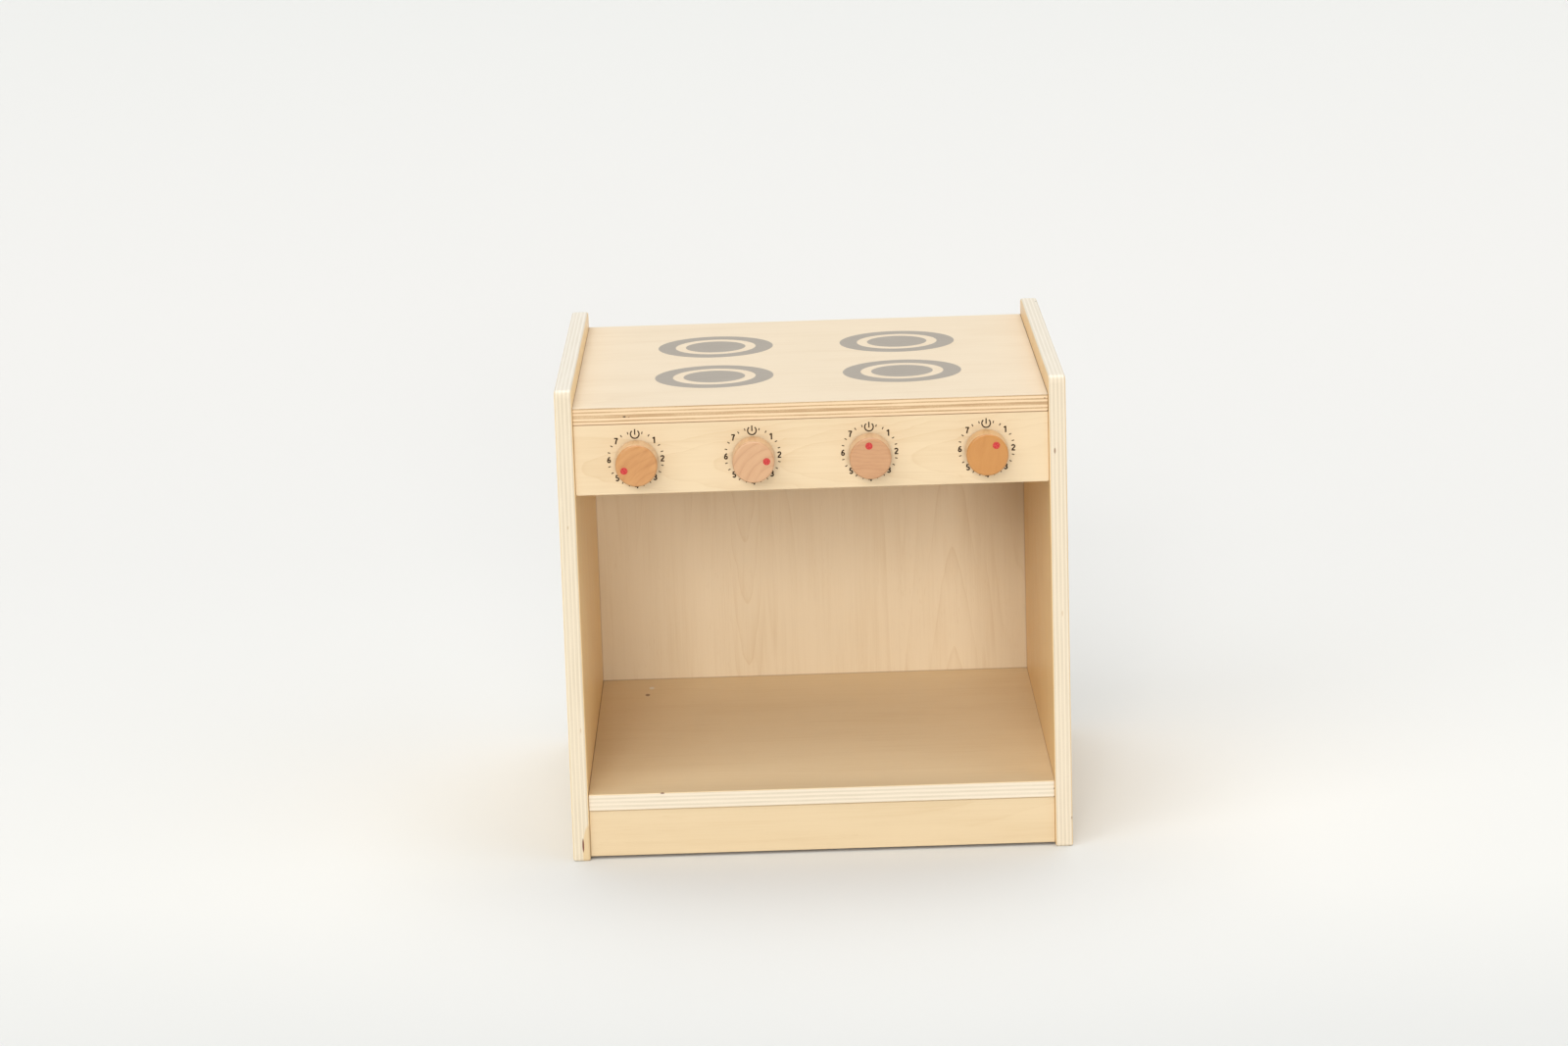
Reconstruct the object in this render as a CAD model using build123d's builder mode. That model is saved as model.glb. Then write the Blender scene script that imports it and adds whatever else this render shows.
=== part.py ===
from build123d import *
import math
import os

os.makedirs("parts", exist_ok=True)

# Toddler's toy oven: an open plywood box with a hob on top, a front board with
# four turning knobs, an open oven space and a kick board. +Z up, +X to the
# right as seen from the front, +Y towards the back. The origin is on the floor
# in the middle of the outline, knobs included.

# ---------------------------------------------------------------- dimensions
ply = 15.0                 # thickness of every structural board
width = 440.0              # over the two side panels
depth = 400.0              # side panels, front edge to rear edge
height = 421.5             # side panels
side_corner_r = 8.0        # top corners of a side panel, seen from the side
side_foot_r = 2.4          # bottom corners of a side panel, seen from the side
side_arris_r = 2.0         # hand-friendly roundover along the panel's edges

hob_top_z = 405.5          # cooking surface, 16 mm below the panels' top edges
hob_recess = 3.5           # hob front edge, back from the panels' front edges
control_h = 62.0           # height of the control board
control_recess = 4.0
shelf_top_z = 59.5         # oven floor
shelf_recess = 3.5
kick_bottom_z = 2.7        # the kick board just clears the floor
kick_recess = 5.0
board_arris_r = 0.9        # softened front arrises of the cross boards
control_corner_r = 2.0     # lower corners of the control board, from the front

back_ply = 6.0             # thin back panel, in a rebate of the side panels
rebate_w = 7.0             # rebate width, into the side panel's thickness
back_bottom_z = 4.5

knob_r = 18.5              # at the back of the knob
knob_len = 23.0
knob_taper = 1.0           # degrees
knob_front_r = 2.0
knob_rear_r = 1.4
knob_pitch = 100.5
knob_drop = 1.25           # knob axis below the middle of the control board
dot_d = 6.3                # red pointer spot, let into the knob's face
dot_radius_at = 11.4
dot_recess = 0.6
dot_fill = 0.5
dot_angles = (250.0, 87.0, -5.0, 42.0)   # clockwise from the top, at rest

slide_gap = 0.1            # knob to front washer, bolt head to rear washer
front_washer_t = 1.4
front_washer_r = 8.0
rear_washer_t = 1.0
rear_washer_r = 6.0
washer_bore_r = 2.8
bolt_r = 2.5               # M5 machine bolt
bolt_len = 30.0
bolt_head_r = 4.75
bolt_head_t = 3.4
bolt_bore_r = 2.58         # running fit in the control board
insert_r = 4.0             # threaded insert in the knob
insert_len = 13.0
insert_bore_depth = 14.0

screw_r = 2.0              # carcass screws, through the side panels
screw_head_r = 4.0
screw_head_t = 2.6
screw_len = 40.0           # under the head
plug_t = 5.0               # wooden plug over each screw head
pilot_depth = 33.5
dowel_r = 4.0
dowel_len = 30.0
dowel_in_side = 10.0
dowel_chamfer = 0.8
back_screw_r = 1.6
back_screw_head_r = 3.1
back_screw_len = 16.0

# ------------------------------------------------------------ derived places
knob_stand = front_washer_t + slide_gap
y_front = -(depth - (knob_stand + knob_len - control_recess)) / 2
y_rear = y_front + depth
x_out = width / 2
x_in = x_out - ply
inner_w = 2 * x_in
hob_z = hob_top_z - ply
control_z = hob_z - control_h
shelf_z = shelf_top_z - ply
y_back_in = y_rear - back_ply
y_control = y_front + control_recess
y_kick = y_front + kick_recess
knob_z = control_z + control_h / 2 - knob_drop
knob_xs = [(i - 1.5) * knob_pitch for i in range(4)]
y_knob_rear = y_control - knob_stand

# carcass fixings, as (y, z) on the side panels
hob_mid = hob_top_z - ply / 2
shelf_mid = shelf_top_z - ply / 2
control_mid_y = y_control + ply / 2
kick_mid_y = y_kick + ply / 2
long_screws = (60.0, 200.0, 340.0)
long_dowels = (130.0, 270.0)
screw_pts = (
    [(y_front + d, hob_mid) for d in long_screws]
    + [(y_front + d, shelf_mid) for d in long_screws]
    + [(control_mid_y, control_z + 14), (control_mid_y, control_z + 48)]
    + [(kick_mid_y, 14.0)]
)
dowel_pts = (
    [(y_front + d, hob_mid) for d in long_dowels]
    + [(y_front + d, shelf_mid) for d in long_dowels]
    + [(control_mid_y, control_z + 31)]
    + [(kick_mid_y, 30.0)]
)
back_screw_side_z = (40.0, 122.0, 204.0, 286.0, 368.0)
back_screw_side_x = x_in + rebate_w / 2
back_screw_shelf_x = (-140.0, 0.0, 140.0)


def at_left(points):
    # (y, z) points on a plane that faces -X
    return [(y, -z) for y, z in points]


def at_right(points):
    # (y, z) points on a plane that faces +X
    return [(y, z) for y, z in points]


left_out = Plane(origin=(-x_out, 0, 0), x_dir=(0, 1, 0), z_dir=(-1, 0, 0))
right_out = Plane(origin=(x_out, 0, 0), x_dir=(0, 1, 0), z_dir=(1, 0, 0))
left_in = Plane(origin=(-x_in, 0, 0), x_dir=(0, 1, 0), z_dir=(1, 0, 0))
right_in = Plane(origin=(x_in, 0, 0), x_dir=(0, 1, 0), z_dir=(-1, 0, 0))
end_left = Plane(origin=(-x_in, 0, 0), x_dir=(0, 1, 0), z_dir=(-1, 0, 0))
end_right = Plane(origin=(x_in, 0, 0), x_dir=(0, 1, 0), z_dir=(1, 0, 0))
rear_out = Plane(origin=(0, y_rear, 0), x_dir=(1, 0, 0), z_dir=(0, 1, 0))
rear_in = Plane(origin=(0, y_back_in, 0), x_dir=(1, 0, 0), z_dir=(0, 1, 0))


def save(builder, label):
    builder.part.label = label
    export_step(builder.part, "parts/" + label + ".step")


# --------------------------------------------------------------- side panels
with BuildPart() as left_side_panel:
    with BuildSketch(Plane.YZ.offset(-x_out)) as left_profile:
        with Locations(((y_front + y_rear) / 2, height / 2)):
            Rectangle(depth, height)
        fillet(left_profile.vertices().group_by(Axis.Y)[-1], side_corner_r)
        fillet(left_profile.vertices().group_by(Axis.Y)[0], side_foot_r)
    extrude(amount=ply)
    fillet(left_side_panel.faces().filter_by(Axis.X).edges(), side_arris_r)
    # rebate for the back panel, along the inner rear edge up to the hob
    with BuildSketch(Plane.XY):
        with Locations((-x_in - rebate_w, y_back_in)):
            Rectangle(rebate_w + 1, back_ply + 1, align=(Align.MIN, Align.MIN))
    extrude(amount=hob_z, mode=Mode.SUBTRACT)
    with Locations(left_out):
        with Locations(*at_left(screw_pts)):
            CounterBoreHole(
                radius=screw_r,
                counter_bore_radius=screw_head_r,
                counter_bore_depth=plug_t + screw_head_t,
            )
    with Locations(left_in):
        with Locations(*at_right(dowel_pts)):
            Hole(radius=dowel_r, depth=dowel_in_side + 0.5)
    with Locations(rear_in):
        with Locations(*[(-back_screw_side_x, -z) for z in back_screw_side_z]):
            Hole(radius=back_screw_r, depth=back_screw_len - back_ply)
save(left_side_panel, "left_side_panel")

with BuildPart() as right_side_panel:
    with BuildSketch(Plane.YZ.offset(x_in)) as right_profile:
        with Locations(((y_front + y_rear) / 2, height / 2)):
            Rectangle(depth, height)
        fillet(right_profile.vertices().group_by(Axis.Y)[-1], side_corner_r)
        fillet(right_profile.vertices().group_by(Axis.Y)[0], side_foot_r)
    extrude(amount=ply)
    fillet(right_side_panel.faces().filter_by(Axis.X).edges(), side_arris_r)
    with BuildSketch(Plane.XY):
        with Locations((x_in + rebate_w, y_back_in)):
            Rectangle(rebate_w + 1, back_ply + 1, align=(Align.MAX, Align.MIN))
    extrude(amount=hob_z, mode=Mode.SUBTRACT)
    with Locations(right_out):
        with Locations(*at_right(screw_pts)):
            CounterBoreHole(
                radius=screw_r,
                counter_bore_radius=screw_head_r,
                counter_bore_depth=plug_t + screw_head_t,
            )
    with Locations(right_in):
        with Locations(*at_left(dowel_pts)):
            Hole(radius=dowel_r, depth=dowel_in_side + 0.5)
    with Locations(rear_in):
        with Locations(*[(back_screw_side_x, -z) for z in back_screw_side_z]):
            Hole(radius=back_screw_r, depth=back_screw_len - back_ply)
save(right_side_panel, "right_side_panel")


# ----------------------------------------------------------------- the boards
def pilots(z_low, z_high, y_low, y_high):
    # the fixings that enter one board's two ends
    screws = [p for p in screw_pts if y_low < p[0] < y_high and z_low < p[1] < z_high]
    dowels = [p for p in dowel_pts if y_low < p[0] < y_high and z_low < p[1] < z_high]
    with Locations(end_left):
        with Locations(*at_left(screws)):
            Hole(radius=screw_r, depth=pilot_depth)
    with Locations(end_right):
        with Locations(*at_right(screws)):
            Hole(radius=screw_r, depth=pilot_depth)
    with Locations(end_left):
        with Locations(*at_left(dowels)):
            Hole(radius=dowel_r, depth=dowel_len - dowel_in_side + 0.5)
    with Locations(end_right):
        with Locations(*at_right(dowels)):
            Hole(radius=dowel_r, depth=dowel_len - dowel_in_side + 0.5)


# hob: the top board, front edge to the back of the carcass
with BuildPart() as hob_top:
    y_a = y_front + hob_recess
    with BuildSketch(Plane.XY.offset(hob_z)):
        with Locations((0, y_a)):
            Rectangle(inner_w, y_rear - y_a, align=(Align.CENTER, Align.MIN))
    extrude(amount=ply)
    front_face = hob_top.faces().filter_by(Axis.Y).sort_by(Axis.Y)[0]
    fillet(front_face.edges(), board_arris_r)
    rear_face = hob_top.faces().filter_by(Axis.Y).sort_by(Axis.Y)[-1]
    fillet(rear_face.edges().filter_by(Axis.X).sort_by(Axis.Z)[-1], board_arris_r)
    pilots(hob_z, hob_top_z, y_a, y_rear)
save(hob_top, "hob_top")

# control board: upright under the hob's front edge, bored for four bolts
with BuildPart() as control_panel:
    with BuildSketch(Plane.XZ.offset(-y_control - ply)) as control_profile:
        with Locations((0, control_z + control_h / 2)):
            Rectangle(inner_w, control_h)
        fillet(control_profile.vertices().group_by(Axis.Y)[0], control_corner_r)
    extrude(amount=ply)
    front_face = control_panel.faces().filter_by(Axis.Y).sort_by(Axis.Y)[0]
    rear_face = control_panel.faces().filter_by(Axis.Y).sort_by(Axis.Y)[-1]
    fillet(front_face.edges(), board_arris_r)
    fillet(rear_face.edges().filter_by(Axis.X).sort_by(Axis.Z)[0], board_arris_r)
    pilots(control_z, hob_z, y_control, y_control + ply)
    with Locations(Plane(origin=(0, y_control, knob_z), x_dir=(1, 0, 0), z_dir=(0, -1, 0))):
        with GridLocations(knob_pitch, 1, 4, 1):
            Hole(radius=bolt_bore_r)
save(control_panel, "control_panel")

# oven floor
with BuildPart() as oven_shelf:
    y_a = y_front + shelf_recess
    with BuildSketch(Plane.XY.offset(shelf_z)):
        with Locations((0, y_a)):
            Rectangle(inner_w, y_back_in - y_a, align=(Align.CENTER, Align.MIN))
    extrude(amount=ply)
    front_face = oven_shelf.faces().filter_by(Axis.Y).sort_by(Axis.Y)[0]
    fillet(front_face.edges(), board_arris_r)
    pilots(shelf_z, shelf_top_z, y_a, y_back_in)
    with Locations(rear_in):
        with Locations(*[(x, -shelf_mid) for x in back_screw_shelf_x]):
            Hole(radius=back_screw_r, depth=back_screw_len - back_ply)
save(oven_shelf, "oven_shelf")

# kick board: upright under the oven floor
with BuildPart() as kick_board:
    with BuildSketch(Plane.XZ.offset(-y_kick - ply)):
        with Locations((0, kick_bottom_z)):
            Rectangle(inner_w, shelf_z - kick_bottom_z, align=(Align.CENTER, Align.MIN))
    extrude(amount=ply)
    front_face = kick_board.faces().filter_by(Axis.Y).sort_by(Axis.Y)[0]
    rear_face = kick_board.faces().filter_by(Axis.Y).sort_by(Axis.Y)[-1]
    fillet(front_face.edges(), board_arris_r)
    fillet(rear_face.edges().filter_by(Axis.X).sort_by(Axis.Z)[0], board_arris_r)
    pilots(kick_bottom_z, shelf_z, y_kick, y_kick + ply)
save(kick_board, "kick_board")

# back panel: thin board in the side panels' rebates, under the hob
with BuildPart() as back_panel:
    with BuildSketch(Plane.XZ.offset(-y_rear)):
        with Locations((0, back_bottom_z)):
            Rectangle(
                2 * (x_in + rebate_w),
                hob_z - back_bottom_z,
                align=(Align.CENTER, Align.MIN),
            )
    extrude(amount=back_ply)
    with Locations(rear_out):
        with Locations(
            *[(-back_screw_side_x, -z) for z in back_screw_side_z],
            *[(back_screw_side_x, -z) for z in back_screw_side_z],
            *[(x, -shelf_mid) for x in back_screw_shelf_x],
        ):
            CounterSinkHole(
                radius=back_screw_r,
                counter_sink_radius=back_screw_head_r,
                counter_sink_angle=90,
            )
save(back_panel, "back_panel")


# ------------------------------------------------------------------- fixings
for side, outer, inner, outer_pts, inner_pts in (
    ("left", left_out, left_in, (at_left(screw_pts)), at_right(dowel_pts)),
    ("right", right_out, right_in, (at_right(screw_pts)), at_left(dowel_pts)),
):
    seat = outer.offset(-(plug_t + screw_head_t))

    # pan-head screws, each head seated at the bottom of its counterbore
    with BuildPart() as carcass_screws:
        with BuildSketch(seat):
            with Locations(*outer_pts):
                Circle(screw_head_r)
        extrude(amount=screw_head_t)
        with BuildSketch(seat):
            with Locations(*outer_pts):
                Circle(screw_r)
        extrude(amount=-screw_len)
        tips = carcass_screws.edges().filter_by(GeomType.CIRCLE).group_by(Axis.X)
        chamfer(tips[-1] if side == "left" else tips[0], 1.2)
    save(carcass_screws, "carcass_screws_" + side)

    # wooden plugs, glued over the heads flush with the panel
    with BuildPart() as cover_plugs:
        with BuildSketch(outer.offset(-plug_t)):
            with Locations(*outer_pts):
                Circle(screw_head_r)
        extrude(amount=plug_t)
    save(cover_plugs, "cover_plugs_" + side)

    # beech dowels across the joints, with chamfered ends
    with BuildPart() as dowels:
        with BuildSketch(inner.offset(-dowel_in_side)):
            with Locations(*inner_pts):
                Circle(dowel_r)
        extrude(amount=dowel_len)
        chamfer(dowels.edges().filter_by(GeomType.CIRCLE), dowel_chamfer)
    save(dowels, "dowels_" + side)

# countersunk screws of the back panel: cone and shank in one turned profile
with BuildPart() as back_panel_screws:
    for x, z in (
        [(-back_screw_side_x, z) for z in back_screw_side_z]
        + [(back_screw_side_x, z) for z in back_screw_side_z]
        + [(x, shelf_mid) for x in back_screw_shelf_x]
    ):
        half_plane = Plane(origin=(x, y_rear, z), x_dir=(1, 0, 0), z_dir=(0, 0, 1))
        cone = back_screw_head_r - back_screw_r
        with BuildSketch(half_plane):
            with BuildLine():
                Polyline(
                    (0, 0),
                    (back_screw_head_r, 0),
                    (back_screw_r, -cone),
                    (back_screw_r, -back_screw_len + 2.5),
                    (0.3, -back_screw_len + 0.2),
                    (0, -back_screw_len + 0.2),
                    close=True,
                )
            make_face()
        revolve(axis=Axis((x, y_rear, z), (0, 1, 0)))
        # cross-shaped driver recess
        with BuildSketch(Plane(origin=(x, y_rear, z), x_dir=(1, 0, 0), z_dir=(0, 1, 0))):
            Rectangle(3.0, 0.7, rotation=35)
            Rectangle(0.7, 3.0, rotation=35)
        extrude(amount=-1.1, mode=Mode.SUBTRACT)
save(back_panel_screws, "back_panel_screws")

# ------------------------------------------------------- knobs and their bolts
panel_front = Plane(origin=(0, y_control, knob_z), x_dir=(1, 0, 0), z_dir=(0, -1, 0))
panel_rear = Plane(origin=(0, y_control + ply, knob_z), x_dir=(1, 0, 0), z_dir=(0, 1, 0))

with BuildPart() as knob_front_washers:
    with BuildSketch(panel_front):
        with GridLocations(knob_pitch, 1, 4, 1):
            Circle(front_washer_r)
            Circle(washer_bore_r, mode=Mode.SUBTRACT)
    extrude(amount=front_washer_t)
save(knob_front_washers, "knob_front_washers")

with BuildPart() as knob_rear_washers:
    with BuildSketch(panel_rear):
        with GridLocations(knob_pitch, 1, 4, 1):
            Circle(rear_washer_r)
            Circle(washer_bore_r, mode=Mode.SUBTRACT)
    extrude(amount=rear_washer_t)
save(knob_rear_washers, "knob_rear_washers")

for number, (knob_x, angle) in enumerate(zip(knob_xs, dot_angles), start=1):
    # knob frame: Z points forward, out of the knob's face
    knob_base = Plane(origin=(knob_x, y_knob_rear, knob_z), x_dir=(1, 0, 0), z_dir=(0, -1, 0))
    knob_face = knob_base.offset(knob_len)
    bolt_seat = Plane(
        origin=(knob_x, y_control + ply + rear_washer_t + slide_gap, knob_z),
        x_dir=(1, 0, 0),
        z_dir=(0, -1, 0),
    )
    dot_at = (
        dot_radius_at * math.sin(math.radians(angle)),
        dot_radius_at * math.cos(math.radians(angle)),
    )

    # turned wooden knob
    with BuildPart() as knob:
        with BuildSketch(knob_base):
            Circle(knob_r)
        extrude(amount=knob_len, taper=knob_taper)
        rims = knob.edges().filter_by(GeomType.CIRCLE).sort_by(Axis.Y)
        fillet(rims[0], knob_front_r)
        rims = knob.edges().filter_by(GeomType.CIRCLE).sort_by(Axis.Y)
        fillet(rims[-1], knob_rear_r)
        with BuildSketch(knob_base):
            Circle(insert_r)
        extrude(amount=insert_bore_depth, mode=Mode.SUBTRACT)
        with BuildSketch(knob_face):
            with Locations(dot_at):
                Circle(dot_d / 2)
        extrude(amount=-dot_recess, mode=Mode.SUBTRACT)
    save(knob, "knob_%d" % number)

    # red spot on the knob's face, the pointer of the dial
    with BuildPart() as pointer_dot:
        with BuildSketch(knob_face.offset(-dot_recess)):
            with Locations(dot_at):
                Circle(dot_d / 2)
        extrude(amount=dot_fill)
    save(pointer_dot, "pointer_dot_%d" % number)

    # threaded insert, pressed into the knob from behind
    with BuildPart() as knob_insert:
        with BuildSketch(knob_base):
            Circle(insert_r)
            Circle(bolt_r, mode=Mode.SUBTRACT)
        extrude(amount=insert_len)
    save(knob_insert, "knob_insert_%d" % number)

    # machine bolt through the control board, its head inside the oven
    with BuildPart() as knob_bolt:
        with BuildSketch(bolt_seat):
            Circle(bolt_head_r)
        extrude(amount=-bolt_head_t)
        fillet(knob_bolt.edges().filter_by(GeomType.CIRCLE).sort_by(Axis.Y)[-1], 1.4)
        with BuildSketch(bolt_seat):
            Circle(bolt_r)
        extrude(amount=bolt_len)
        chamfer(knob_bolt.edges().filter_by(GeomType.CIRCLE).sort_by(Axis.Y)[0], 0.7)
        with BuildSketch(bolt_seat.offset(-bolt_head_t)):
            RegularPolygon(radius=1.75, side_count=6)
        extrude(amount=1.9, mode=Mode.SUBTRACT)
    save(knob_bolt, "knob_bolt_%d" % number)

print("front plane y", y_front, "rear", y_rear, "knob z", knob_z, "knob face y", y_knob_rear - knob_len)
print("control z", control_z, hob_z, "shelf", shelf_z, shelf_top_z)
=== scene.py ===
import math

import bmesh
import bpy
from mathutils import Matrix, Vector
from mathutils.geometry import delaunay_2d_cdt


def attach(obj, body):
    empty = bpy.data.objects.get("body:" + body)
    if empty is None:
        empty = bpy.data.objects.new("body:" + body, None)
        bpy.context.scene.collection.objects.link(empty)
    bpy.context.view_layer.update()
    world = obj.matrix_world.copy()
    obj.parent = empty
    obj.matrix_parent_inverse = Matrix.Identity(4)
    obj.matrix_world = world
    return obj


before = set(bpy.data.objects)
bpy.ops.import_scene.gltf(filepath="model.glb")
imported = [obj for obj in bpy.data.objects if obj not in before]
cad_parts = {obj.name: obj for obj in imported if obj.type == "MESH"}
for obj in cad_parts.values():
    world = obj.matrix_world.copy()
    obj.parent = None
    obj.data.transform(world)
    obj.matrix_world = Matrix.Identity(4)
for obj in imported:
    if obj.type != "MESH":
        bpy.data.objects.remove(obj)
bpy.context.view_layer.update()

scene = bpy.context.scene
scene.view_settings.view_transform = "Standard"
scene.view_settings.look = "None"
scene.view_settings.exposure = 0.0
scene.view_settings.gamma = 1.0

# ------------------------------------------------------------------ sizes (m)
MM = 0.001
DATUM = 0.0015  # heights of marks and seams are counted from here, above the floor
Y_FRONT = -0.18975  # front plane of the side panels
Y_REAR = 0.21025
X_IN = 0.205
X_OUT = 0.220
HOB_Z = 0.404 + DATUM
CONTROL_Y = Y_FRONT + 0.004
KNOB_Y_REAR = CONTROL_Y - 0.0015
KNOB_FACE = KNOB_Y_REAR - 0.023
KNOB_Z = 0.35675
DIAL_Z = 0.358
KNOB_XS = [(i - 1.5) * 0.1005 for i in range(4)]
DIAL_XS = [(i - 1.5) * 0.101 - 0.0003 for i in range(4)]


def lin(r, g, b):
    # sRGB 0..255 to linear
    out = []
    for c in (r, g, b):
        c = c / 255.0
        out.append(c / 12.92 if c <= 0.04045 else ((c + 0.055) / 1.055) ** 2.4)
    return (*out, 1.0)


def tone_of(c, gain):
    return (*[min(1.0, max(0.0, v * g)) for v, g in zip(c[:3], gain)], 1.0)


# --------------------------------------------------------------- node helper
class Mat:
    def __init__(self, name):
        self.m = bpy.data.materials.new(name)
        self.m.use_nodes = True
        self.n = self.m.node_tree.nodes
        self.l = self.m.node_tree.links
        self.n.clear()
        self.out = self.n.new("ShaderNodeOutputMaterial")
        self.bsdf = self.n.new("ShaderNodeBsdfPrincipled")
        self.l.new(self.bsdf.outputs["BSDF"], self.out.inputs["Surface"])

    def put(self, socket, value):
        if value is None:
            return
        if isinstance(value, bpy.types.NodeSocket):
            self.l.new(value, socket)
        else:
            socket.default_value = value

    def set(self, name, value):
        self.put(self.bsdf.inputs[name], value)

    def math(self, op, a, b=None, c=None, clamp=False):
        n = self.n.new("ShaderNodeMath")
        n.operation = op
        n.use_clamp = clamp
        self.put(n.inputs[0], a)
        self.put(n.inputs[1], b)
        if c is not None:
            self.put(n.inputs[2], c)
        return n.outputs[0]

    def add(self, a, b):
        return self.math("ADD", a, b)

    def sub(self, a, b):
        return self.math("SUBTRACT", a, b)

    def mul(self, a, b):
        return self.math("MULTIPLY", a, b)

    def range(self, v, a0, a1, b0=0.0, b1=1.0, smooth=True):
        n = self.n.new("ShaderNodeMapRange")
        n.interpolation_type = "SMOOTHSTEP" if smooth else "LINEAR"
        n.clamp = True
        self.put(n.inputs["Value"], v)
        n.inputs["From Min"].default_value = a0
        n.inputs["From Max"].default_value = a1
        n.inputs["To Min"].default_value = b0
        n.inputs["To Max"].default_value = b1
        return n.outputs["Result"]

    def mix(self, fac, a, b, blend="MIX"):
        n = self.n.new("ShaderNodeMix")
        n.data_type = "RGBA"
        n.blend_type = blend
        n.clamp_factor = True
        self.put(n.inputs[0], fac)
        self.put(n.inputs[6], a)
        self.put(n.inputs[7], b)
        return n.outputs[2]

    def ramp(self, fac, stops, mode="LINEAR"):
        n = self.n.new("ShaderNodeValToRGB")
        r = n.color_ramp
        r.interpolation = mode
        while len(r.elements) > 1:
            r.elements.remove(r.elements[-1])
        r.elements[0].position = stops[0][0]
        r.elements[0].color = stops[0][1]
        for p, c in stops[1:]:
            e = r.elements.new(p)
            e.color = c
        self.put(n.inputs[0], fac)
        return n.outputs[0]

    def grey(self, stops, fac, mode="LINEAR"):
        c = self.ramp(fac, [(p, (v, v, v, 1.0)) for p, v in stops], mode)
        n = self.n.new("ShaderNodeRGBToBW")
        self.l.new(c, n.inputs[0])
        return n.outputs[0]

    def coords(self):
        # object coordinates, in millimetres, heights from the datum
        n = self.n.new("ShaderNodeTexCoord")
        s = self.n.new("ShaderNodeSeparateXYZ")
        self.l.new(n.outputs["Object"], s.inputs[0])
        c = [self.mul(s.outputs[i], 1000.0) for i in range(3)]
        return [c[0], c[1], self.sub(c[2], DATUM * 1000)]

    def vec(self, x, y, z):
        n = self.n.new("ShaderNodeCombineXYZ")
        for i, v in enumerate((x, y, z)):
            self.put(n.inputs[i], v)
        return n.outputs[0]

    def noise(self, vector, scale=1.0, detail=2.0, rough=0.5, distort=0.0):
        n = self.n.new("ShaderNodeTexNoise")
        n.noise_dimensions = "3D"
        self.put(n.inputs["Vector"], vector)
        n.inputs["Scale"].default_value = scale
        n.inputs["Detail"].default_value = detail
        n.inputs["Roughness"].default_value = rough
        n.inputs["Distortion"].default_value = distort
        return n.outputs[0]

    def voronoi(self, vector, scale=1.0, feature="F1", random=1.0):
        n = self.n.new("ShaderNodeTexVoronoi")
        n.voronoi_dimensions = "3D"
        n.feature = feature
        self.put(n.inputs["Vector"], vector)
        n.inputs["Scale"].default_value = scale
        n.inputs["Randomness"].default_value = random
        return n.outputs["Distance"]

    def bump(self, height, strength=0.2, distance=0.0002):
        n = self.n.new("ShaderNodeBump")
        n.inputs["Strength"].default_value = strength
        n.inputs["Distance"].default_value = distance
        self.put(n.inputs["Height"], height)
        self.l.new(n.outputs[0], self.bsdf.inputs["Normal"])

    def spot(self, c, centre, size, soft=0.5):
        # a soft ellipsoid mask about a point, in millimetres
        parts = []
        for i in range(3):
            d = self.mul(self.sub(c[i], centre[i]), 1.0 / size[i])
            parts.append(self.mul(d, d))
        r = self.math("SQRT", self.add(self.add(parts[0], parts[1]), parts[2]))
        return self.range(r, 1.0, 1.0 - soft)


# --------------------------------------------------------------- plywood look
# layers across a board, from one face to the other: (thickness, kind)
LAYERS_EDGE = [(0.45, 0), (0.95, 1), (1.95, 0), (1.15, 1), (1.8, 0), (2.95, 1), (1.95, 0), (1.3, 1), (2.5, 0)]
LAYERS_SHELF = [(1.2, 1), (1.7, 0), (1.6, 1), (1.9, 0), (1.8, 1), (1.9, 0), (1.9, 1), (1.6, 0), (1.4, 1)]
LAYERS_EVEN = [(1.1, 0), (1.65, 1), (1.75, 0), (1.7, 1), (1.8, 0), (1.75, 1), (1.75, 0), (1.7, 1), (1.8, 0)]
LAYERS_SIDE = [(1.2, 1), (1.3, 0), (2.1, 1), (1.3, 0), (2.1, 1), (1.3, 0), (2.2, 1), (1.3, 0), (2.2, 1)]
LAYERS_BACK = [(1.2, 0), (1.2, 1), (1.2, 0), (1.2, 1), (1.2, 0)]


def layer_stops(layers, soft=0.20):
    whole = sum(t for t, _ in layers)
    stops, at = [(0.0, float(layers[0][1]))], 0.0
    for (t, _), (_, after), (_, before) in zip(layers[:-1], layers[1:], layers[:-1]):
        at += t / whole
        s = soft / whole / 2
        stops.append((at - s, float(before)))
        stops.append((at + s, float(after)))
    return stops


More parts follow.
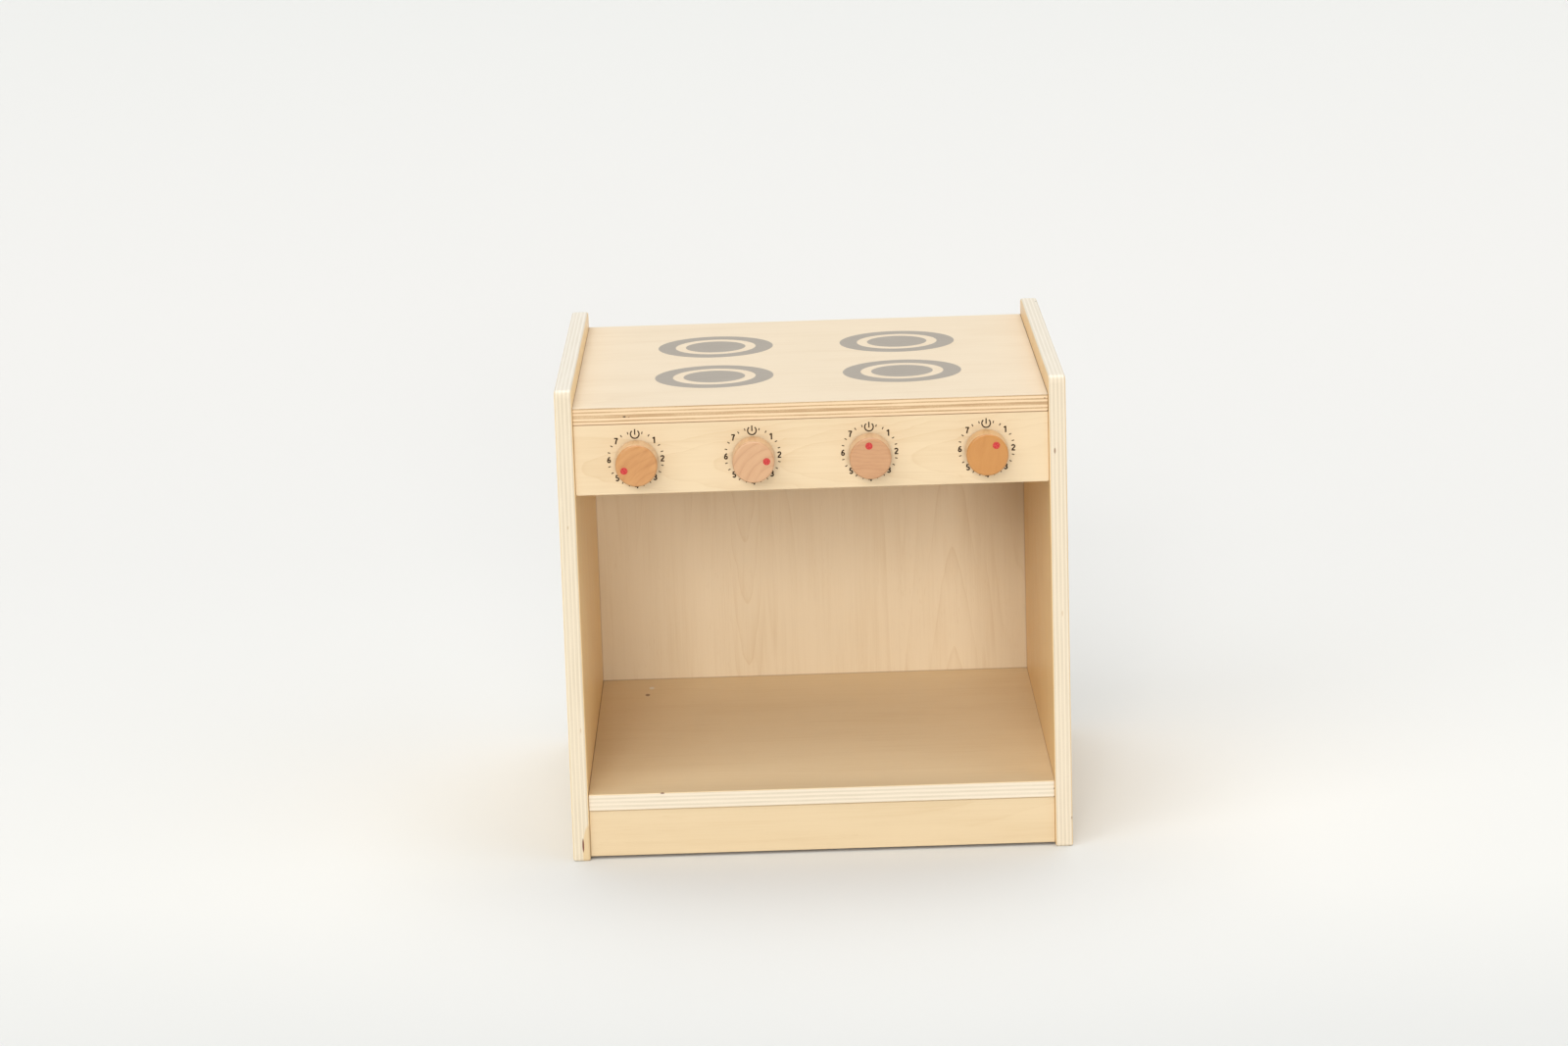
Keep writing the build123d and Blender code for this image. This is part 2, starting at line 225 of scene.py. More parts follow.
def plywood(
    name,
    thick,  # axis across the board: 0, 1 or 2
    middle,  # board's middle plane on that axis, mm
    total,
    grain,  # axis of the face veneer's grain
    face,  # three face colours: light, middle, dark
    edge,  # two edge colours: long-grain layer, end-grain layer
    layers=LAYERS_EVEN,
    flip=False,
    seed=0.0,
    ring=0.30,  # strength of the growth lines
    ring_size=(420.0, 70.0),
    ring_lines=7.0,
    fibre=0.20,
    streaks=0.28,
    cloud=0.30,
    pores=0.10,
    flecks=0.0,
    # top_edge_sheen: painted sheen on the top end of a side panel (height, amount, two paler edge colours)
    top_edge_sheen=None,
    # corner and arris: painted shade on the rounded upper front edges (height, front, width, amount)
    corner_shade=None,
    skin=0.95,  # depth of the face veneer at the edges
    arris_shade=None,
    flames=(),
    seams=(),
    spots=(),
    rough=0.42,
    coat=0.22,
    layer_wobble=0.45,
    streaky=0.45,
    patchy=0.5,
    gain=(1.0, 1.0, 1.0),
    edge_gain=(1.0, 1.0, 1.0),
):
    m = Mat(name)
    face = [tone_of(c, gain) for c in face]
    edge = [tone_of(c, edge_gain) for c in edge]
    c = m.coords()
    across = [a for a in range(3) if a not in (thick, grain)][0]
    u, w, s0 = c[grain], c[across], m.sub(c[thick], middle)
    if flip:
        s0 = m.mul(s0, -1.0)
    absd = m.math("ABSOLUTE", s0)

    # ---- face veneer: rotary-cut figure, as contour lines of a stretched field
    warp = m.noise(m.vec(m.mul(u, 1 / 260.0), m.mul(w, 1 / 42.0), seed + 3.1), detail=1.0)
    field = m.noise(
        m.vec(
            m.mul(u, 1 / ring_size[0]),
            m.mul(m.add(w, m.mul(m.sub(warp, 0.5), 16.0)), 1 / ring_size[1]),
            seed,
        ),
        detail=1.3,
        rough=0.35,
    )
    rings = m.math("FRACT", m.mul(field, ring_lines))
    line = m.grey([(0.0, 0.0), (0.05, 1.0), (0.13, 0.62), (0.5, 0.22), (0.9, 0.03), (1.0, 0.0)], rings)
    fade = m.range(m.noise(m.vec(m.mul(u, 1 / 190.0), m.mul(w, 1 / 60.0), seed + 9.0), detail=1.0), 0.38, 0.64)
    fine = m.noise(m.vec(m.mul(u, 1 / 40.0), m.mul(w, 1 / 0.7), seed + 5.0), detail=3.0, rough=0.6)
    broad = m.noise(m.vec(m.mul(u, 1 / 150.0), m.mul(w, 1 / 4.5), seed + 6.0), detail=2.0, rough=0.55)
    blotch = m.noise(m.vec(m.mul(u, 1 / 130.0), m.mul(w, 1 / 38.0), seed + 7.0), detail=2.0)
    tone = m.add(
        m.add(m.mul(m.mul(m.sub(line, 0.2), fade), 2 * ring), m.mul(m.sub(fine, 0.5), 4 * fibre)),
        m.add(m.mul(m.sub(broad, 0.5), 4 * streaks), m.mul(m.sub(blotch, 0.5), 4 * cloud)),
    )
    # nested pointed arches of a plain-sawn heart: tip at (u0, w0), opening along +u or -u
    if flames:
        sway = m.mul(m.sub(m.noise(m.vec(m.mul(u, 1 / 30.0), m.mul(w, 1 / 9.0), seed + 13.0), detail=1.5), 0.5), 1.0)
    for f in flames:
        d = m.math("ABSOLUTE", m.add(m.sub(w, f["w0"]), m.mul(sway, f.get("sway", 7.0))))
        lift = m.mul(m.math("POWER", d, f.get("power", 1.6)), f["a"])
        run = m.sub(m.mul(m.sub(u, f["u0"]), f["way"]), lift)
        step = m.mul(run, 1.0 / f["pitch"])
        # no arches before the first tip
        there = m.range(run, -1.2, 0.0)
        there = m.mul(there, m.range(d, f["half"], f["half"] * 0.55))
        there = m.mul(there, m.range(run, f["pitch"] * f["count"], f["pitch"] * (f["count"] - 0.25)))
        arch = m.grey([(0.0, 0.75), (0.03, 1.0), (0.10, 0.55), (0.45, 0.18), (0.9, 0.0), (1.0, 0.0)], m.math("FRACT", step))
        tone = m.add(tone, m.mul(m.mul(arch, there), f["amount"]))
    colour = m.ramp(m.add(m.mul(tone, 0.5), 0.5), [(0.0, face[0]), (0.5, face[1]), (1.0, face[2])])
    dot = m.voronoi(m.vec(m.mul(u, 1 / 6.0), m.mul(w, 1 / 0.8), m.mul(s0, 1 / 3.0)), random=1.0)
    colour_face = m.mix(m.mul(m.range(dot, 0.15, 0.05), pores), colour, face[2])
    if flecks:
        # short darker dashes lying along the grain, in patches
        dash = m.noise(m.vec(m.mul(u, 1 / 11.0), m.mul(w, 1 / 0.9), seed + 17.0), detail=1.0)
        where = m.range(m.noise(m.vec(m.mul(u, 1 / 90.0), m.mul(w, 1 / 35.0), seed + 19.0), detail=1.0), 0.45, 0.62)
        colour_face = m.mix(m.mul(m.mul(m.range(dash, 0.63, 0.74), where), flecks), colour_face, face[2])

    # ---- edges: alternating long-grain and end-grain layers
    a = [x for x in range(3) if x != thick]
    wob = m.noise(m.vec(m.mul(c[a[0]], 1 / 60.0), m.mul(c[a[1]], 1 / 60.0), m.add(m.mul(s0, 1 / 5.0), seed + 11.0)), detail=1.5)
    inner = m.range(absd, total / 2, total / 2 - 2.0)
    s = m.add(s0, m.mul(m.mul(m.sub(wob, 0.5), layer_wobble * 2), inner))
    kind = m.grey(layer_stops(layers), m.add(m.mul(s, 1.0 / total), 0.5))
    streak = m.noise(m.vec(m.mul(c[a[0]], 1 / 26.0), m.mul(c[a[1]], 1 / 26.0), m.mul(s0, 1 / 0.4)), detail=2.0, rough=0.55)
    speck = m.noise(m.vec(m.mul(c[a[0]], 1 / 1.0), m.mul(c[a[1]], 1 / 1.0), m.mul(s0, 1 / 0.45)), detail=2.0)
    patch = m.noise(m.vec(m.mul(c[a[0]], 1 / 50.0), m.mul(c[a[1]], 1 / 50.0), m.mul(s0, 1 / 2.0)), detail=1.0)
    glue = m.range(m.math("ABSOLUTE", m.sub(kind, 0.5)), 0.48, 0.2)
    k = m.mul(kind, m.range(patch, 0.28, 0.72, 1.0 - patchy, 1.12))
    k = m.add(k, m.mul(m.sub(streak, 0.5), streaky * 2))
    k = m.add(k, m.mul(m.mul(m.sub(speck, 0.5), m.add(kind, 0.35)), 0.7))
    k = m.add(k, m.mul(glue, 0.16))
    colour_edge = m.mix(k, edge[0], edge[1])

    # painted sheen: the top end's edge layers are painted paler, standing in for the grazing light they catch from
    # above
    if top_edge_sheen:
        sheen_colour = m.mix(k, top_edge_sheen[2], top_edge_sheen[3])
        up = m.mul(m.range(c[2], top_edge_sheen[0] - 4.0, top_edge_sheen[0]), m.range(c[1], FRONT + 2.0, FRONT + 8.0, smooth=False))
        colour_edge = m.mix(m.mul(up, top_edge_sheen[1]), colour_edge, sheen_colour)
    on_face = m.range(m.sub(total / 2, absd), skin, 0.12)
    colour = m.mix(on_face, colour_edge, colour_face)
    for shaded_bend in (corner_shade, arris_shade):
        # painted shade on the rounded upper front edges, damping the highlight they catch: slightly deeper in tone than
        # the flats
        if shaded_bend:
            q = m.sub(m.sub(c[2], shaded_bend[0]), m.sub(c[1], shaded_bend[1]))
            bend_shade = m.mul(m.math("POWER", m.range(q, -shaded_bend[2], -0.586 * shaded_bend[2], smooth=False), 0.6), shaded_bend[3])
            colour = m.mix(bend_shade, colour, (0.0, 0.0, 0.0, 1.0))
    for seam in seams:
        d = m.math("ABSOLUTE", m.sub(c[seam["axis"]], seam["at"]))
        mask = m.range(d, seam["width"], seam["width"] * seam.get("core", 0.15))
        if "side" in seam:
            mask = m.mul(mask, m.range(s0, total / 2 - 1.2, total / 2 - 0.6))
            mask = m.mul(mask, m.range(c[1], FRONT + 2.6, FRONT + 3.6))
        colour = m.mix(m.mul(mask, seam["amount"]), colour, seam["tint"])
    for spot in spots:
        centre, size, tint, amount = spot[:4]
        colour = m.mix(m.mul(m.spot(c, centre, size, spot[4] if len(spot) > 4 else 0.5), amount), colour, tint)

    m.set("Base Color", colour)
    m.set("Roughness", m.range(m.add(m.mul(fine, 0.6), m.mul(streak, 0.4)), 0.25, 0.75, rough - 0.05, rough + 0.07))
    m.set("Specular IOR Level", 0.45)
    m.set("Coat Weight", coat)
    m.set("Coat Roughness", 0.16)
    face_h = m.add(m.mul(fine, 0.5), m.mul(broad, 0.5))
    edge_h = m.add(m.mul(m.sub(1.0, kind), 0.5), m.mul(streak, 0.5))
    m.bump(m.add(m.mul(face_h, on_face), m.mul(edge_h, m.sub(1.0, on_face))), 0.2, 0.0001)
    return m.m


# ------------------------------------------------------------ board materials
def assign(node, material):
    o = bpy.data.objects[node]
    o.data.materials.clear()
    o.data.materials.append(material)
    for p in o.data.polygons:
        p.material_index = 0


def shades(r, g, b):
    # light, middle and dark tone of one veneer
    return (lin(min(255, r + 9), min(255, g + 10), min(255, b + 12)), lin(r, g, b), lin(r - 24, g - 34, b - 44))


EDGE_PALE = (lin(216, 203, 179), lin(203, 189, 164))
EDGE_CREAM = (lin(218, 206, 187), lin(196, 177, 152))
EDGE_SHELF = (lin(218, 206, 187), lin(204, 192, 170))
EDGE_WARM = (lin(212, 184, 148), lin(170, 138, 101))

SEAM = lin(84, 48, 22)
SEAM_SOFT = lin(146, 100, 58)
SEAM_HOB = lin(140, 98, 60)
KNOT = lin(120, 84, 56)
DARK = lin(70, 46, 32)
FRONT = Y_FRONT * 1000
EDGE_Y = FRONT + 3.5

# the boards share one plywood, but each board's tones and gains were fitted on their own, so part of the light and
# shade each board gets is painted into its colour: the shelf and back panel inside are painted lighter than the boards
# in front
boards = {
    "left_side_panel": dict(
        # the corner entry paints shade on the rounded upper front corner; the top-edge entry paints sheen on the top
        # end
        thick=0, middle=-212.5, total=15.0, grain=2, gain=(1.2, 1.2, 1.18), edge_gain=(1.07, 1.065, 1.065), face=shades(238, 205, 152), edge=EDGE_PALE, layers=LAYERS_SIDE, seed=1.0, patchy=0.4, streaky=0.3, layer_wobble=0.3, top_edge_sheen=(419.6, 0.95, lin(251, 244, 230), lin(238, 229, 211)), corner_shade=(420.0, FRONT, 8.0, 0.03),
        ring=0.12, fibre=0.13, streaks=0.12, cloud=0.16, flecks=0.15,
        seams=[
            dict(axis=2, at=404.0, width=0.8, amount=0.55, tint=SEAM_SOFT, side=1),
            dict(axis=2, at=58.2, width=0.7, amount=0.5, tint=lin(134, 74, 30), side=1),
            dict(axis=1, at=204.2, width=0.9, amount=0.4, tint=SEAM_SOFT, side=1),
        ],
        spots=[
            ((-205.6, FRONT, 4.0), (6.2, 6.0, 29.0), lin(212, 186, 143), 0.95, 0.14),
            ((-211.0, FRONT, 13.2), (0.95, 3.0, 7.6), lin(112, 56, 40), 1.0, 0.4),
            ((-212.6, FRONT, 300.0), (0.9, 3.0, 2.2), lin(186, 158, 120), 0.6),
            ((-209.0, FRONT, 118.0), (0.8, 3.0, 3.0), lin(196, 168, 128), 0.6),
        ],
    ),
    "right_side_panel": dict(
        # the corner entry paints shade on the rounded upper front corner; the top-edge entry paints sheen on the top
        # end
        thick=0, middle=212.5, total=15.0, grain=2, gain=(1.15, 1.135, 1.08), edge_gain=(1.08, 1.07, 1.08), face=shades(230, 196, 142), edge=EDGE_PALE, layers=LAYERS_SIDE, flip=True, seed=2.0, patchy=0.3, streaky=0.3, layer_wobble=0.3, top_edge_sheen=(419.6, 0.95, lin(251, 242, 225), lin(238, 228, 208)), corner_shade=(420.0, FRONT, 8.0, 0.03),
        ring=0.12, fibre=0.13, streaks=0.12, cloud=0.16, flecks=0.15,
        seams=[
            dict(axis=2, at=404.0, width=0.8, amount=0.55, tint=SEAM_SOFT, side=1),
            dict(axis=2, at=58.2, width=0.6, amount=0.4, tint=lin(150, 92, 44), side=1),
            dict(axis=1, at=204.2, width=0.9, amount=0.4, tint=SEAM_SOFT, side=1),
        ],
        spots=[
            ((209.8, FRONT, 354.7), (1.0, 3.0, 3.3), KNOT, 0.75),
            ((219.3, FRONT, 24.6), (0.9, 3.0, 1.8), KNOT, 0.6),
            ((218.3, 184.5, 420.0), (0.9, 1.5, 3.0), DARK, 0.85),
            ((214.0, FRONT, 210.0), (0.8, 3.0, 3.2), lin(196, 168, 128), 0.6),
        ],
    ),
    "hob_top": dict(
        thick=2, middle=396.5, total=15.0, grain=0, gain=(0.965, 0.98, 1.01), edge_gain=(1.18, 1.21, 1.23), face=shades(236, 217, 187), edge=EDGE_WARM, layers=LAYERS_EDGE, flip=True, seed=3.0,
        # the arris entry paints shade on the front top arris, damping the highlight it catches
        ring=0.07, fibre=0.07, streaks=0.08, cloud=0.13, pores=0.03, rough=0.55, coat=0.05, patchy=0.45, streaky=0.5, arris_shade=(404.0, EDGE_Y, 0.9, 0.24), skin=0.5,
        seams=[
            dict(axis=2, at=389.0, width=0.8, amount=0.75, tint=lin(136, 84, 40)),
            dict(axis=0, at=-205.0, width=0.7, amount=0.6, tint=SEAM_SOFT),
            dict(axis=0, at=205.0, width=0.8, amount=0.85, tint=SEAM),
        ],
        spots=[
            ((-160.2, EDGE_Y, 395.6), (1.8, 3.0, 0.8), lin(46, 28, 18), 1.0),
            ((-156.4, EDGE_Y, 395.1), (0.8, 3.0, 0.5), KNOT, 0.8),
            ((202.0, EDGE_Y, 400.6), (0.9, 3.0, 0.6), DARK, 0.8),
            ((204.3, EDGE_Y, 389.5), (0.8, 3.0, 0.8), DARK, 0.8),
        ],
    ),
    "control_panel": dict(
        thick=1, middle=FRONT + 11.5, total=15.0, grain=0, gain=(1.158, 1.18, 1.2), face=shades(207, 184, 149), edge=EDGE_WARM, seed=4.0,
        ring=0.10, fibre=0.10, streaks=0.09, cloud=0.14, pores=0.05, flecks=0.10,
        flames=[dict(u0=-199.0, w0=351.0, way=1.0, a=0.15, power=2.0, pitch=57.0, half=80.0, count=6, amount=0.22, sway=11.0)],
        seams=[
            dict(axis=2, at=389.0, width=0.6, amount=0.65, tint=lin(136, 84, 40)),
            dict(axis=0, at=-205.0, width=0.8, amount=0.55, tint=SEAM_SOFT),
            dict(axis=0, at=205.0, width=0.8, amount=0.45, tint=SEAM_SOFT),
        ],
    ),
    "oven_shelf": dict(
        thick=2, middle=50.5, total=15.0, grain=0, gain=(1.07, 1.105, 1.16), edge_gain=(1.09, 1.08, 1.06), face=shades(238, 213, 170), edge=EDGE_SHELF, layers=LAYERS_SHELF, flip=True, seed=5.0,
        ring=0.06, fibre=0.12, streaks=0.09, cloud=0.12, pores=0.06, patchy=0.4, flecks=0.22,
        seams=[
            dict(axis=0, at=-205.0, width=1.0, amount=0.8, tint=lin(134, 74, 30)),
            dict(axis=0, at=205.0, width=0.7, amount=0.5, tint=lin(150, 92, 44)),
            dict(axis=1, at=204.25, width=1.6, amount=0.5, tint=SEAM_SOFT),
            dict(axis=2, at=43.0, width=0.75, amount=0.75, tint=SEAM_HOB),
        ],
        spots=[
            # painted shade: the front strip of the oven floor is toned darker, damping the light that falls on it
            ((0.0, -190.0, 58.0), (420.0, 55.0, 1.2), lin(200, 172, 130), 0.45, 1.0),
            ((-160.6, 146.0, 58.0), (2.8, 5.4, 1.0), lin(140, 98, 66), 0.9),
            ((-157.2, 171.0, 58.0), (3.2, 5.6, 1.0), (1.0, 0.95, 0.86, 1.0), 1.0),
            ((-139.7, EDGE_Y, 57.6), (2.2, 3.0, 0.9), lin(112, 72, 52), 0.9),
            ((204.6, EDGE_Y, 50.9), (1.0, 3.0, 0.9), DARK, 0.7),
            ((204.6, EDGE_Y, 43.4), (1.0, 3.0, 0.9), DARK, 0.7),
        ],
    ),
    "kick_board": dict(
        thick=1, middle=FRONT + 12.5, total=15.0, grain=0, gain=(1.15, 1.15, 1.17), face=shades(204, 182, 145), edge=EDGE_WARM, seed=6.0,
        ring=0.08, fibre=0.10, streaks=0.09, cloud=0.12, pores=0.06, flecks=0.22,
        seams=[
            dict(axis=2, at=43.0, width=0.5, amount=0.8, tint=SEAM_HOB),
            dict(axis=0, at=-205.0, width=0.8, amount=0.4, tint=SEAM_SOFT),
            dict(axis=0, at=205.0, width=0.8, amount=0.4, tint=SEAM_SOFT),
        ],
    ),
    "back_panel": dict(
        thick=1, middle=Y_REAR * 1000 - 3.0, total=6.0, grain=2, gain=(1.01, 1.035, 1.075), face=shades(238, 218, 184), edge=EDGE_CREAM, layers=LAYERS_BACK, seed=7.0,
        ring=0.12, ring_size=(520.0, 46.0), fibre=0.12, streaks=0.11, cloud=0.16, pores=0.08, flecks=0.25,
        flames=[
            dict(u0=8.0, w0=-63.5, way=1.0, a=0.42, power=2.0, pitch=61.0, half=20.0, count=7, amount=0.32, sway=5.0),
            dict(u0=279.0, w0=135.0, way=-1.0, a=1.05, power=1.5, pitch=98.5, half=27.0, count=4, amount=0.3, sway=4.0),
        ],
        seams=[
            dict(axis=2, at=58.0, width=1.0, amount=0.45, tint=SEAM_SOFT),
            dict(axis=0, at=-205.0, width=1.0, amount=0.3, tint=SEAM_SOFT),
            dict(axis=0, at=205.0, width=1.0, amount=0.3, tint=SEAM_SOFT),
        ],
    ),
}
for node, spec in boards.items():
    assign(node, plywood("ply_" + node, **spec))


# ----------------------------------------------------------- the turned knobs
def knob_wood(name, centre_x, face, side, seed, rings, cloud=0.3, fibre=0.2, gain=(1.0, 1.0, 1.0), side_gain=(1.0, 1.0, 1.0)):
    m = Mat(name)
    face = [tone_of(c, gain) for c in face]
    side = [tone_of(c, side_gain) for c in side]
    c = m.coords()
    x, z = m.sub(c[0], centre_x * 1000), m.sub(c[2], KNOB_Z * 1000)
    y = m.sub(c[1], KNOB_FACE * 1000)
    a = math.radians(rings["angle"])
    u = m.add(m.mul(x, math.cos(a)), m.mul(z, math.sin(a)))
    w = m.sub(m.mul(z, math.cos(a)), m.mul(x, math.sin(a)))
    sway = m.mul(m.sub(m.noise(m.vec(m.mul(u, 1 / 16.0), m.mul(w, 1 / 10.0), seed), detail=2.0), 0.5), rings["sway"])
    if "centre" in rings:
        # growth rings about a heart that lies off the knob
        dx, dz = m.sub(x, rings["centre"][0]), m.sub(z, rings["centre"][1])
        r = m.math("SQRT", m.add(m.mul(dx, dx), m.mul(dz, dz)))
    else:
        r = w
    r = m.sub(m.add(m.add(r, sway), m.mul(y, rings.get("lean", 0.3))), rings.get("at", 0.0))
    ring = m.grey([(0.0, 1.0), (0.05, 0.55), (0.3, 0.2), (0.7, 0.0), (0.93, 0.35), (1.0, 1.0)], m.math("FRACT", m.mul(r, 1 / rings["pitch"])))
    fine = m.noise(m.vec(m.mul(u, 1 / 8.0), m.mul(w, 1 / 0.45), m.mul(y, 1 / 0.8)), detail=3.0, rough=0.6)
    blotch = m.noise(m.vec(m.mul(u, 1 / 18.0), m.mul(w, 1 / 5.5), m.add(m.mul(y, 1 / 12.0), seed + 2.0)), detail=2.0)
    ray = m.range(m.voronoi(m.vec(m.mul(u, 1 / 2.4), m.mul(w, 1 / 0.5), m.mul(y, 1 / 1.0))), 0.2, 0.06)
    tone = m.add(
        m.add(m.mul(m.sub(ring, 0.25), 2 * rings["amount"]), m.mul(m.sub(fine, 0.5), 4 * fibre)),
        m.add(m.mul(m.sub(blotch, 0.5), 4 * cloud), m.mul(ray, 0.12)),
    )
    f = m.add(m.mul(tone, 0.5), 0.5)
    front = m.ramp(f, [(0.0, face[0]), (0.5, face[1]), (1.0, face[2])])
    turned = m.noise(m.vec(m.mul(x, 1 / 7.0), m.mul(z, 1 / 7.0), m.add(m.mul(y, 1 / 0.9), seed)), detail=2.0)
    round_ = m.ramp(m.add(m.mul(f, 0.6), m.mul(turned, 0.4)), [(0.2, side[0]), (0.5, side[1]), (0.85, side[2])])
    colour = m.mix(m.range(y, 1.5, 2.3), front, round_)
    # handled edge at the front, and painted shade on the foot against the board, where the board shades the knob
    colour = m.mix(m.mul(m.range(m.math("ABSOLUTE", m.sub(y, 1.2)), 0.7, 0.1), 0.22), colour, face[2])
    colour = m.mix(m.mul(m.range(y, 20.6, 23.2), 0.55), colour, face[2])
    m.set("Base Color", colour)
    m.set("Roughness", m.range(fine, 0.25, 0.75, 0.27, 0.38))
    m.set("Specular IOR Level", 0.5)
    m.set("Coat Weight", 0.35)
    m.set("Coat Roughness", 0.1)
    m.bump(m.add(fine, m.mul(ring, 0.4)), 0.12, 0.0001)
    return m.m


KNOBS = [
    dict(
        face=(lin(194, 145, 92), lin(181, 129, 78), lin(155, 98, 53)), side=(lin(226, 190, 146), lin(214, 172, 124), lin(196, 148, 98)),
        seed=1.3, cloud=0.34, rings=dict(angle=37, sway=3.0, centre=(25.0, -35.0), at=44.3, pitch=6.3, amount=0.17),
    ),
    dict(
        face=(lin(199, 161, 125), lin(188, 146, 109), lin(158, 112, 77)), side=(lin(224, 186, 144), lin(212, 168, 122), lin(192, 144, 98)),
        seed=4.7, cloud=0.16, rings=dict(angle=50, sway=1.6, centre=(20.0, -22.0), at=26.7, pitch=7.6, amount=0.24),
    ),
    dict(
        face=(lin(192, 148, 108), lin(179, 133, 95), lin(153, 105, 71)), side=(lin(224, 188, 148), lin(212, 170, 126), lin(192, 146, 102)),
        seed=8.2, cloud=0.22, rings=dict(angle=-3, sway=4.5, at=1.0, pitch=3.4, amount=0.22),
    ),
    dict(
        face=(lin(189, 137, 76), lin(178, 122, 63), lin(159, 101, 47)), side=(lin(222, 182, 130), lin(210, 164, 108), lin(188, 138, 84)),
        seed=12.9, cloud=0.16, rings=dict(angle=80, sway=3.0, at=5.0, pitch=14.0, amount=0.12),
    ),
]
for i, k in enumerate(KNOBS):
    assign("knob_%d" % (i + 1), knob_wood("knob_wood_%d" % (i + 1), KNOB_XS[i], gain=(1.16, 1.17, 1.165), **k))


# ---------------------------------------------------------- the small pieces
def red_paint():
    m = Mat("red_paint")
    c = m.coords()
    n = m.noise(m.vec(*[m.mul(v, 1 / 1.5) for v in c]), detail=2.0)
    m.set("Base Color", m.ramp(n, [(0.3, lin(184, 50, 48)), (0.7, lin(194, 60, 56))]))
    m.set("Roughness", m.range(n, 0.3, 0.7, 0.22, 0.34))
    m.bump(n, 0.12, 0.0001)
    return m.m


def end_grain_pin():
    m = Mat("beech_pin")
    c = m.coords()
    r = m.noise(m.vec(m.mul(c[0], 0.02), m.mul(c[1], 0.9), m.mul(c[2], 0.9)), detail=3.0)
    f = m.voronoi(m.vec(m.mul(c[0], 0.05), m.mul(c[1], 2.4), m.mul(c[2], 2.4)))
    t = m.add(m.mul(r, 0.7), m.mul(f, 0.4))
    m.set("Base Color", m.ramp(t, [(0.2, lin(196, 150, 104)), (0.5, lin(214, 172, 124)), (0.85, lin(228, 192, 148))]))
    m.set("Roughness", m.range(r, 0.3, 0.7, 0.40, 0.52))
    m.bump(t, 0.2, 0.00015)
    return m.m


def zinc():
    m = Mat("zinc_steel")
    c = m.coords()
    n = m.noise(m.vec(*[m.mul(v, 1 / 3.0) for v in c]), detail=3.0)
    f = m.noise(m.vec(m.mul(c[0], 3.0), m.mul(c[1], 0.4), m.mul(c[2], 3.0)), detail=2.0)
    m.set("Base Color", m.ramp(n, [(0.3, lin(176, 178, 180)), (0.7, lin(206, 207, 206))]))
    m.set("Metallic", 1.0)
    m.set("Roughness", m.range(f, 0.3, 0.7, 0.24, 0.4))
    m.bump(f, 0.15, 0.0001)
    return m.m


def brass():
    m = Mat("brass")
    c = m.coords()
    n = m.noise(m.vec(*[m.mul(v, 1 / 2.0) for v in c]), detail=2.0)
    m.set("Base Color", m.ramp(n, [(0.3, lin(196, 160, 88)), (0.7, lin(216, 184, 112))]))
    m.set("Metallic", 1.0)
    m.set("Roughness", m.range(n, 0.3, 0.7, 0.3, 0.45))
    return m.m


def nylon():
    m = Mat("nylon")
    c = m.coords()
    n = m.noise(m.vec(*[m.mul(v, 1 / 2.0) for v in c]), detail=2.0)
    m.set("Base Color", m.ramp(n, [(0.3, lin(226, 222, 210)), (0.7, lin(236, 233, 222))]))
    m.set("Roughness", m.range(n, 0.3, 0.7, 0.45, 0.6))
    return m.m


RED, PIN, ZINC, BRASS, NYLON = red_paint(), end_grain_pin(), zinc(), brass(), nylon()
for i in range(1, 5):
    assign("pointer_dot_%d" % i, RED)
    assign("knob_insert_%d" % i, BRASS)
    assign("knob_bolt_%d" % i, ZINC)
for side in ("left", "right"):
    assign("dowels_" + side, PIN)
    assign("cover_plugs_" + side, PIN)
    assign("carcass_screws_" + side, ZINC)
assign("back_panel_screws", ZINC)
assign("knob_rear_washers", ZINC)
assign("knob_front_washers", NYLON)


# --------------------------------------------------------------- the printing
def ink(name, light, dark, rough, coat=0.25, shine=0.5):
    m = Mat(name)
    c = m.coords()
    n = m.noise(m.vec(m.mul(c[0], 1 / 14.0), m.mul(c[1], 1 / 2.2), m.mul(c[2], 1 / 2.2)), detail=3.0)
    f = m.noise(m.vec(m.mul(c[0], 1 / 60.0), m.mul(c[1], 1 / 1.2), m.mul(c[2], 1 / 1.2)), detail=2.0)
    m.set("Base Color", m.ramp(m.add(m.mul(n, 0.5), m.mul(f, 0.5)), [(0.3, dark), (0.7, light)]))
    m.set("Roughness", m.range(n, 0.3, 0.7, rough - 0.04, rough + 0.06))
    m.set("Specular IOR Level", shine)
    m.set("Coat Weight", coat)
    m.set("Coat Roughness", 0.2)
    m.bump(f, 0.12, 0.0001)
    return m.m


GREY = ink("burner_grey", lin(182, 173, 160), lin(176, 167, 154), 0.38)
INK = ink("dial_ink", lin(56, 36, 20), lin(40, 24, 12), 0.6, 0.0, 0.2)


